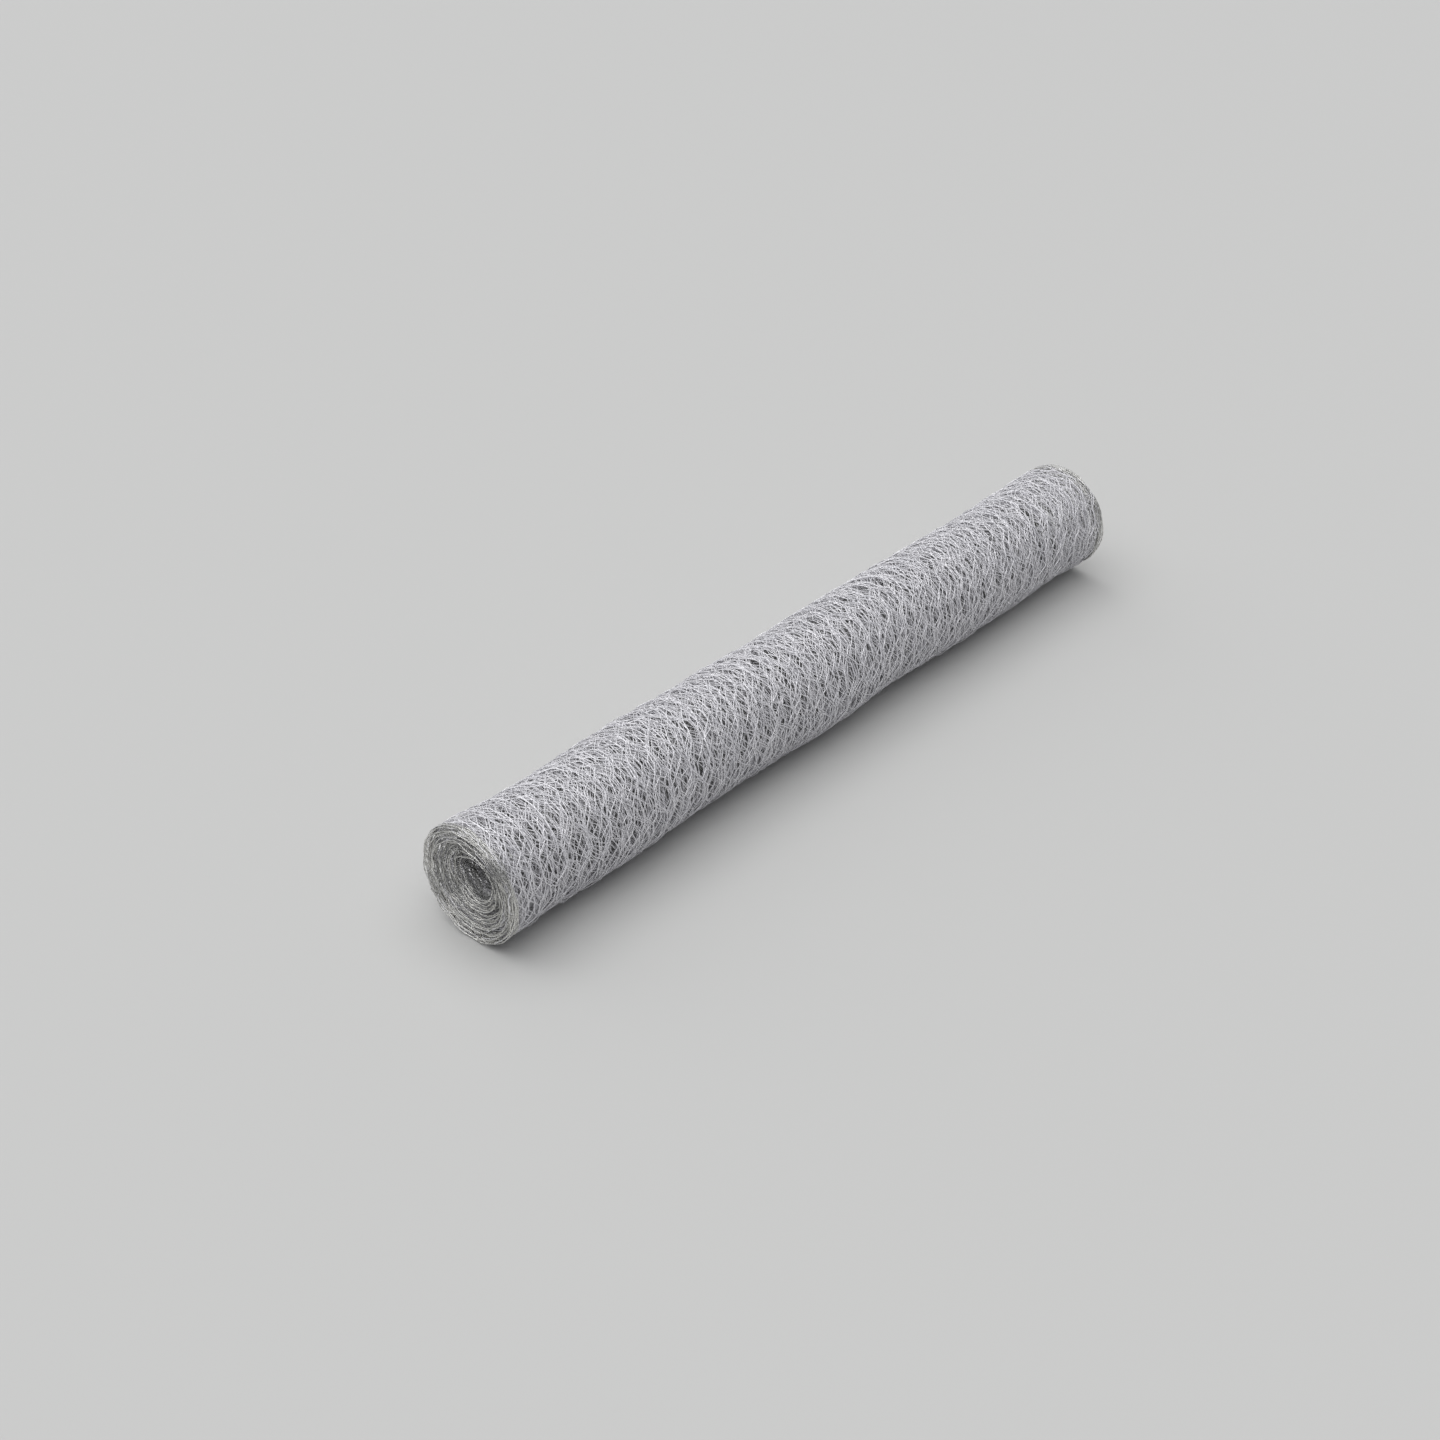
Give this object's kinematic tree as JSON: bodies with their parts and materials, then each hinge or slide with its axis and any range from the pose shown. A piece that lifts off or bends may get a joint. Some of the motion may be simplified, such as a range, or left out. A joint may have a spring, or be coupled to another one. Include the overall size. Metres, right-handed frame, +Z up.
{
  "type": "roll of chicken wire",
  "caption": "Roll of galvanised hexagonal wire netting, tightly wound around an open bore and lying on its side, for fencing, cages and reinforcement.",
  "frame": {"origin": "on the floor, below the middle of the roll", "axes": "+X along the axis of the roll, +Z up, the side that the picture shows faces -Y and the near end faces -X"},
  "size_m": [1, 0.133, 0.1329],
  "materials": {
    "galvanised_wire": "hot-dip galvanised wire, slightly dulled"
  },
  "bodies": {
    "root": {"netting_roll": "galvanised_wire"}
  },
  "joints": []
}
